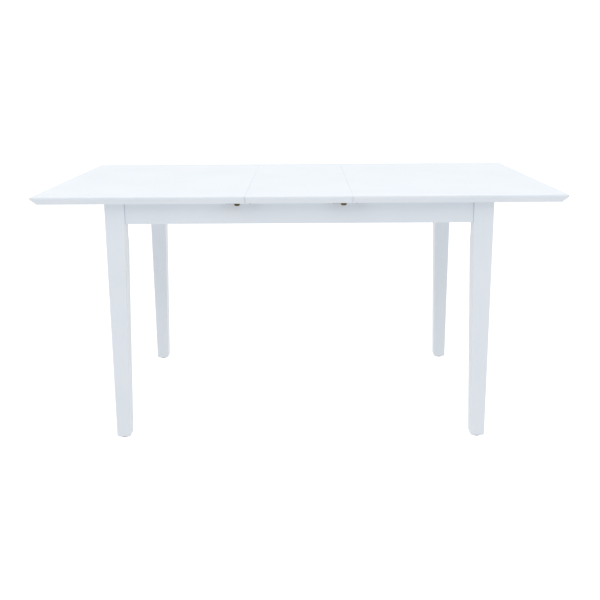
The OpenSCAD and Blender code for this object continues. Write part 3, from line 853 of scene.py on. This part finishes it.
def add_screw(bm, place, length, head):
    """A screw with its head face at local z = 0 and its shank along local Z."""
    shank = head / 2
    arm, half_width = head * 0.55, head * 0.13
    stations = [(1.3 * MM, cross_radius(arm * 0.55, half_width * 0.8)),
                (-HEAD_PROUD, cross_radius(arm, half_width)), (-HEAD_PROUD, head * 0.93),
                (-HEAD_PROUD + 0.12 * MM, head * 0.99), (0.35 * MM, head), (2 * MM + head / 10, shank)]
    height = 2 * MM + 2 * THREAD_PITCH
    while height < length - 3 * MM:
        stations += [(height, shank * 0.72), (height + THREAD_PITCH / 2, shank)]
        height += THREAD_PITCH
    stations += [(length - 2.5 * MM, shank * 0.72), (length, 0.15 * MM)]
    add_turned(bm, stations, place, recess_angles(arm, half_width))


def screws(node):
    bm = bmesh.new()
    for low, high in solids_of(node):
        size, middle, way = measured(low, high)
        if not way.z and middle.dot(way) <= 0:
            way = -way
        add_screw(bm, aimed(middle - way * max(size) / 2, way), max(size), min(size) / 2)
    return stand_in(mesh_piece(node + "_recessed", bm), node, zinc)


screw_nodes = ["bracket_screws", "guide_rail_screws", "cross_rail_screws", "runner_screws_left",
               "runner_screws_right", "plate_screws_left", "plate_screws_right", "keeper_screws_left",
               "keeper_screws_right", "keeper_screws_leaf"]
screw_groups = [screws(node) for node in screw_nodes]
print("screws:", {node: len(solids_of(node)) for node in screw_nodes})

# %% [markdown]
# ## Corner brackets and hanger bolts
# A knock-down table draws each leg into its corner with a bent steel bracket. A hanger bolt, wood thread
# on one half and machine thread on the other, comes out of the leg through the bracket, and a wing nut
# pulls it tight by hand. Bent sheet always shows a radius at the bend, about its own thickness outside.

# %% Corner brackets
TAB_LENGTH = 26 * MM
BRACKET_SHEET = 2.5 * MM


def corner_bracket(node):
    low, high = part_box(node)
    span = high.x - low.x
    leg, sheet = span - TAB_LENGTH, BRACKET_SHEET
    bend = sheet * (math.sqrt(2) - 1)
    corners = [(span, 0), (span, sheet), (leg + bend, sheet), (sheet, leg + bend), (sheet, span), (0, span),
               (0, leg), (leg, 0)]
    outer_bend, inner_bend, cut_end = 4 * MM, 1.5 * MM, 0.8 * MM
    outline = fillet(corners, [cut_end, cut_end, inner_bend, inner_bend, cut_end, cut_end, outer_bend,
                               outer_bend])
    corner = Vector((low.x if low.x < 0 else high.x, low.y if low.y < 0 else high.y, 0))
    place = Matrix.Translation(corner) @ Matrix.Diagonal((-math.copysign(1, corner.x),
                                                          -math.copysign(1, corner.y), 1, 1))
    bm = bmesh.new()
    add_plate(bm, outline, low.z, high.z, 0.4 * MM, place=place)
    return stand_in(mesh_piece(node + "_bent_sheet", bm), node, zinc)


brackets = [corner_bracket("corner_bracket_" + corner) for corner in CORNERS]
print("corner brackets:", [piece.name for piece in brackets])

# %% Hanger bolts, washers and wing nuts
MACHINE_PITCH = 1.25 * MM
WOOD_PITCH = 3 * MM
BOLT_RADIUS = 4 * MM
BOLT_WOOD_LENGTH = 32 * MM
WASHER_RADIUS = 9 * MM
WASHER_SHEET = 1.6 * MM


def thread(height, pitch, root, crest):
    """The radius of a screw thread, which turns once round for each pitch of height."""
    def radius(angle):
        phase = (height / pitch - angle / math.tau) % 1
        return root + (crest - root) * (1 - abs(2 * phase - 1))
    return radius


def towards_middle(point):
    """The diagonal direction from a corner of the table to its middle."""
    return Vector((-math.copysign(1, point.x), -math.copysign(1, point.y), 0)).normalized()


def hanger_bolts(node):
    bm = bmesh.new()
    for low, high in solids_of(node):
        length = (high.x - low.x) * math.sqrt(2) - 2 * BOLT_RADIUS
        middle = (low + high) / 2
        way = towards_middle(middle)
        stations = [(0, 0.4 * MM)]
        height = 3 * MM
        while height < BOLT_WOOD_LENGTH - 3 * MM:
            stations.append((height, thread(height, WOOD_PITCH, 2.8 * MM, BOLT_RADIUS)))
            height += WOOD_PITCH / 4
        stations += [(height, 3.2 * MM), (height + 2 * MM, 3.2 * MM)]
        height += 2 * MM + MACHINE_PITCH / 4
        while height < length - 0.8 * MM:
            stations.append((height, thread(height, MACHINE_PITCH, 3.3 * MM, BOLT_RADIUS)))
            height += MACHINE_PITCH / 4
        stations += [(length - 0.7 * MM, 3.3 * MM), (length, 2.8 * MM)]
        add_turned(bm, stations, aimed(middle - way * length / 2, way), EVEN_ANGLES[::2])
    return stand_in(mesh_piece(node + "_threaded", bm), node, zinc)


def bolt_washers(node):
    bm = bmesh.new()
    for low, high in solids_of(node):
        middle = (low + high) / 2
        place = aimed(middle, towards_middle(middle))
        add_plate(bm, circle((0, 0), WASHER_RADIUS, 36), -WASHER_SHEET / 2, WASHER_SHEET / 2, 0.3 * MM,
                  [circle((0, 0), BOLT_RADIUS + 0.3 * MM, 36)], place)
    return stand_in(mesh_piece(node + "_stamped", bm), node, zinc)


bolts = hanger_bolts("hanger_bolts")
washers = bolt_washers("bolt_washers")
print("bolts and washers:", len(bolts.data.polygons), len(washers.data.polygons), "faces")

# %% [markdown]
# ## Wing nuts
# A wing nut is cast or pressed in one piece, so its ears flow into its hub. Modelling that blend face by
# face is slow. Here hub and ears are plain overlapping solids, a voxel remesh fuses them into one skin,
# and a few smoothing passes melt the joint into a fillet, which is roughly what a worn mould does.

# %% Wing nuts
def cast_wing_nut():
    """One wing nut with its axis along Z and its ears along X, as a mesh."""
    bm = bmesh.new()
    add_turned(bm, [(0, 6.2 * MM), (0.4 * MM, 6.9 * MM), (7.6 * MM, 6 * MM), (8 * MM, 5.5 * MM)])
    ear = [Vector((3 * MM, 2.2 * MM)), Vector((9 * MM, 2.2 * MM))]
    ear += arc((10 * MM, 9 * MM), 6.8 * MM, -78, 135, 12) + [Vector((3 * MM, 8.5 * MM))]
    upright = Matrix.Rotation(math.radians(90), 4, "X")
    for turn in (0, 180):
        place = Matrix.Rotation(math.radians(turn), 4, "Z") @ upright
        add_plate(bm, ear, -1.6 * MM, 1.6 * MM, 1 * MM, place=place)
    rough = mesh_piece("wing_nut_mould", bm)
    fuse = rough.modifiers.new("fuse", "REMESH")
    fuse.mode, fuse.voxel_size = "VOXEL", 0.5 * MM
    melt = rough.modifiers.new("melt", "SMOOTH")
    melt.factor, melt.iterations = 0.6, 8
    fused = bpy.data.meshes.new_from_object(rough.evaluated_get(bpy.context.evaluated_depsgraph_get()))
    bpy.data.objects.remove(rough)
    return fused


def wing_nuts(node):
    nut = cast_wing_nut()
    bm = bmesh.new()
    for low, high in solids_of("bolt_washers"):
        middle = (low + high) / 2
        way = towards_middle(middle)
        ears = way.cross((0, 0, 1))
        turned = Matrix((ears, Vector((0, 0, 1)), way)).transposed().to_4x4()
        copy = nut.copy()
        copy.transform(Matrix.Translation(middle + way * WASHER_SHEET / 2) @ turned)
        bm.from_mesh(copy)
        bpy.data.meshes.remove(copy)
    bpy.data.meshes.remove(nut)
    return stand_in(mesh_piece(node + "_cast", bm, crease=70), node, zinc)


nuts = wing_nuts("wing_nuts")
print("wing nuts:", len(nuts.data.polygons), "faces")

# %% [markdown]
# ## Dowels, stops, pads and feet
# Dowels are fluted so that trapped air and glue can get out. The felt discs keep the panels from rubbing
# the frame. Each foot stands on a nylon glide, held by a nail whose head is sunk in it, so that only nylon
# meets the floor.

# %% Dowels and stops
FLUTES = 18
FLUTE_SHARE = 0.03


def flutes(crest):
    """The radius of a fluted dowel, which dips by a small share of itself between two crests."""
    def radius(angle):
        return crest * (1 - FLUTE_SHARE + FLUTE_SHARE * math.cos(FLUTES * angle))
    return radius


def fluted_dowels(node):
    bm = bmesh.new()
    for low, high in solids_of(node):
        size, middle, way = measured(low, high)
        radius, half = min(size) / 2, max(size) / 2
        fluted = flutes(radius)
        stations = [(-half, radius * 0.8), (-half + 1 * MM, fluted), (half - 1 * MM, fluted),
                    (half, radius * 0.8)]
        add_turned(bm, stations, aimed(middle, way))
    return stand_in(mesh_piece(node + "_fluted", bm), node, beech_along_x)


def travel_stops(node):
    bm = bmesh.new()
    for low, high in solids_of(node):
        outline = rectangle(low.x, high.x, low.y, high.y, 0.5 * MM)
        add_plate(bm, outline, low.z, high.z, 0.4 * MM)
    return stand_in(mesh_piece(node + "_blocks", bm), node, beech_along_x)


dowels = fluted_dowels("apron_dowels")
stops = travel_stops("travel_stops")
print("dowels and stops:", len(solids_of("apron_dowels")), len(solids_of("travel_stops")))

# %% Felt pads, glides and nails
def felt_pads(node):
    bm = bmesh.new()
    for low, high in solids_of(node):
        middle, radius = (low + high) / 2, (high.x - low.x) / 2
        side = [(height, radius - inset) for height, inset in rounded_side(0, high.z - low.z, 0.5 * MM)]
        place = Matrix.Translation((middle.x, middle.y, low.z))
        add_turned(bm, side, place, EVEN_ANGLES[::2])
    return stand_in(mesh_piece(node + "_discs", bm), node, felt)


def foot_glides(node):
    nail_hole, head_hole, hole_depth = 1.6 * MM, 3.1 * MM, 2 * MM
    bm = bmesh.new()
    for low, high in solids_of(node):
        middle, radius, height = (low + high) / 2, (high.x - low.x) / 2, high.z - low.z
        skirt = [(0, head_hole), (0, radius - 1.6 * MM), (0.15 * MM, radius - 1.1 * MM),
                 (0.6 * MM, radius - 0.4 * MM), (1.1 * MM, radius), (height - 0.3 * MM, radius),
                 (height, radius - 0.3 * MM), (height, nail_hole), (hole_depth, nail_hole),
                 (hole_depth, head_hole), (0.3 * MM, head_hole)]
        add_turned(bm, skirt, Matrix.Translation((middle.x, middle.y, low.z)), ends="joined")
    return stand_in(mesh_piece(node + "_moulded", bm), node, nylon)


def glide_nails(node):
    bm = bmesh.new()
    for low, high in solids_of(node):
        middle, head, length = (low + high) / 2, (high.x - low.x) / 2, high.z - low.z
        shank = head / 2
        stations = [(0, head * 0.5), (0.15 * MM, head * 0.85), (0.45 * MM, head), (1 * MM, head),
                    (1.2 * MM, shank), (length - 3 * MM, shank), (length, 0.1 * MM)]
        add_turned(bm, stations, Matrix.Translation((middle.x, middle.y, low.z)), EVEN_ANGLES[::2])
    return stand_in(mesh_piece(node + "_driven", bm), node, zinc)


feet = [felt_pads("felt_pads"), foot_glides("foot_glides"), glide_nails("glide_nails")]
print("pads and feet:", [(piece.name, len(piece.data.polygons)) for piece in feet])

# %% [markdown]
# ## Support plates
# Two steel plates under each seam carry the edge of the leaf. Each is screwed to the end panel and lies
# free under the leaf, a hair lower there, so that the leaf drops in without catching.

# %% Support plates
PLATE_HOLD = 45 * MM
LEAF_CLEARANCE = 0.3 * MM


def support_plates(node, seam_side):
    bm = bmesh.new()
    for low, high in solids_of(node):
        outline = rectangle(low.x, high.x, low.y, high.y, 5 * MM)
        add_plate(bm, outline, low.z, high.z - LEAF_CLEARANCE, 0.4 * MM)
        held = (low.x, low.x + PLATE_HOLD) if seam_side == "right" else (high.x - PLATE_HOLD, high.x)
        pad = rectangle(held[0] + 0.3 * MM, held[1] - 0.3 * MM, low.y + 0.3 * MM, high.y - 0.3 * MM, 5 * MM)
        add_plate(bm, pad, high.z - LEAF_CLEARANCE - 0.1 * MM, high.z, 0.02 * MM)
    return stand_in(mesh_piece(node + "_punched", bm), node, zinc)


plates = [support_plates("support_plates_left", "right"), support_plates("support_plates_right", "left")]
print("support plates:", [(piece.name, len(piece.data.polygons)) for piece in plates])

# %% [markdown]
# ## Latches
# Each seam is held shut by two swing latches: a flat brass lever with a hook, a domed knob to turn it by,
# a shoulder screw as its pivot, and a keeper plate with a stud across the seam. At rest the lever is
# parked along its own panel, and only the knob hangs below the shadow of the top. The knob is a turned
# dome, so most of what the eye sees is the curved reflection of a bright room in dark metal.

# %% Levers and knobs
LEVER_REACH = 36 * MM
LEVER_HALF_WIDTH = 6 * MM
LEVER_BOSS = 7.5 * MM
HOOK_GAP = 3.4 * MM
HOOK_LIP = 4 * MM
LEVER_EASE = 0.6 * MM
PIVOT_RADIUS = 2.5 * MM
LATCHES = ("left", "right", "leaf_front", "leaf_rear")


def degrees_at(centre, point):
    return math.degrees(math.atan2(point[1] - centre[1], point[0] - centre[0]))


def lever_outline():
    """A lever with its pivot at the origin and its hook round a stud on +X, counter-clockwise."""
    tip = (LEVER_REACH + HOOK_GAP + HOOK_LIP - LEVER_HALF_WIDTH, 0)
    wide, narrow = LEVER_REACH + HOOK_GAP, LEVER_REACH - HOOK_GAP
    mouth_x = (wide ** 2 - LEVER_HALF_WIDTH ** 2 + tip[0] ** 2) / (2 * tip[0])
    mouth = (mouth_x, math.sqrt(wide ** 2 - mouth_x ** 2))
    throat = math.degrees(math.asin(LEVER_HALF_WIDTH / narrow))
    neck = math.degrees(math.asin(LEVER_HALF_WIDTH / LEVER_BOSS))
    outline = arc(tip, LEVER_HALF_WIDTH, -90, degrees_at(tip, mouth), 12)
    outline += arc((0, 0), wide, degrees_at((0, 0), mouth), 0, 4)[1:]
    outline += arc((LEVER_REACH, 0), HOOK_GAP, 0, -180, 10)[1:]
    outline += arc((0, 0), narrow, 0, throat, 4)[1:]
    outline += arc((0, 0), LEVER_BOSS, neck, 360 - neck, 24)
    return outline


def parked(latch):
    """Where a lever's own axes lie at rest: half turned at the front, straight at the rear."""
    low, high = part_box("latch_knob_" + latch)
    turn = 180 if low.y < 0 else 0
    pivot = Vector(((low.x + high.x) / 2, (low.y + high.y) / 2, 0))
    return Matrix.Translation(pivot) @ Matrix.Rotation(math.radians(turn), 4, "Z")


def latch_lever(latch):
    node = "latch_lever_" + latch
    low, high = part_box(node)
    bm = bmesh.new()
    hole = circle((0, 0), PIVOT_RADIUS + 0.05 * MM)
    add_plate(bm, lever_outline(), low.z, high.z, LEVER_EASE, [hole], parked(latch))
    return stand_in(mesh_piece(node + "_stamped", bm), node, brass)


def latch_knob(latch):
    node = "latch_knob_" + latch
    low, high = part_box(node)
    radius, height = (high.x - low.x) / 2, high.z - low.z
    recess, recess_depth, bore = 4.3 * MM, 3 * MM, PIVOT_RADIUS + 0.05 * MM
    flat = math.sqrt(radius ** 2 - height ** 2)
    dome = [(radius * math.sin(turn), radius * math.cos(turn))
            for turn in (math.radians(4 * step) for step in range(2, 15))]
    stations = [(0, bore), (0, radius - 0.5 * MM), (0.15 * MM, radius - 0.15 * MM),
                (0.45 * MM, radius - 0.05 * MM), (0.8 * MM, radius - 0.35 * MM)]
    stations += [(depth, reach) for depth, reach in dome if 1 * MM < depth < height - 0.5 * MM]
    stations += [(height - 0.15 * MM, flat + 0.05 * MM), (height, flat - 0.3 * MM),
                 (height, recess + 0.35 * MM), (height - 0.1 * MM, recess + 0.1 * MM),
                 (height - 0.4 * MM, recess), (height - recess_depth, recess),
                 (height - recess_depth, bore)]
    pivot = Vector(((low.x + high.x) / 2, (low.y + high.y) / 2, high.z))
    bm = bmesh.new()
    add_turned(bm, stations, aimed(pivot, (0, 0, -1)), ends="joined")
    return stand_in(mesh_piece(node + "_turned", bm), node, brass)


latches = [make(latch) for latch in LATCHES for make in (latch_lever, latch_knob)]
print("latches:", [(piece.name, len(piece.data.polygons)) for piece in latches])

# %% Pivot screws and keepers
KEEPER_SHEET = 1.5 * MM
STUD_RADIUS = 3 * MM
STUD_FROM_END = 7 * MM
KEEPER_PROUD = 0.06 * MM
SEAMS = (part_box("extension_leaf")[0].x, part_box("extension_leaf")[1].x)


def pivot_screws(node):
    """Shoulder screws with a slotted head that looks down."""
    head, head_height, slot, slot_depth = 4 * MM, 2.4 * MM, 0.6 * MM, 1.25 * MM
    bm = bmesh.new()
    for low, high in solids_of(node):
        middle = (low + high) / 2
        place = Matrix.Translation((middle.x, middle.y, low.z))
        stations = [(slot_depth - 0.05 * MM, head), (head_height - 0.2 * MM, head),
                    (head_height, head - 0.2 * MM), (head_height, PIVOT_RADIUS),
                    (high.z - low.z - 10 * MM, PIVOT_RADIUS), (high.z - low.z - 9 * MM, 1.9 * MM),
                    (high.z - low.z, 1.5 * MM)]
        add_turned(bm, stations, place)
        reach = math.degrees(math.acos(slot / head))
        for turn in (0, 180):
            half_head = arc((0, 0), head, turn - reach, turn + reach, 12)
            add_plate(bm, half_head, 0, slot_depth, 0.2 * MM, place=place)
    return stand_in(mesh_piece(node + "_slotted", bm), node, zinc)


def keepers(node):
    """Flush plates with a hanging stud. The stud stands near the end that looks at the seam."""
    bm = bmesh.new()
    for low, high in solids_of(node):
        plate_low = high.z - KEEPER_SHEET
        seam = min(SEAMS, key=lambda x: min(abs(low.x - x), abs(high.x - x)))
        from_low = abs(low.x - seam) < abs(high.x - seam)
        stud_x = low.x + STUD_FROM_END if from_low else high.x - STUD_FROM_END
        middle_y = (low.y + high.y) / 2
        outline = rectangle(low.x, high.x, low.y, high.y, 2.5 * MM)
        add_plate(bm, outline, plate_low - KEEPER_PROUD, high.z, 0.2 * MM)
        drop = plate_low - low.z
        stations = [(0, STUD_RADIUS - 0.4 * MM), (0.12 * MM, STUD_RADIUS - 0.12 * MM),
                    (0.4 * MM, STUD_RADIUS), (drop + 0.5 * MM, STUD_RADIUS)]
        add_turned(bm, stations, Matrix.Translation((stud_x, middle_y, low.z)))
    return stand_in(mesh_piece(node + "_plates", bm), node, brass)


pivots = [pivot_screws(node) for node in ("latch_pivot_left", "latch_pivot_right", "latch_pivots_leaf")]
keeper_plates = [keepers(node) for node in ("keeper_left", "keeper_right", "keepers_leaf")]
print("pivots and keepers:", [piece.name for piece in pivots + keeper_plates])

# %% [markdown]
# ## Nothing left plain
# Every CAD node should now have a finished piece in its place. If one were left it would show as raw
# grey, so the lesson ends by asking.

# %% Finish
left_plain = [name for name, node in frame["nodes"].items() if not node.hide_render]
print("CAD nodes still showing:", left_plain)
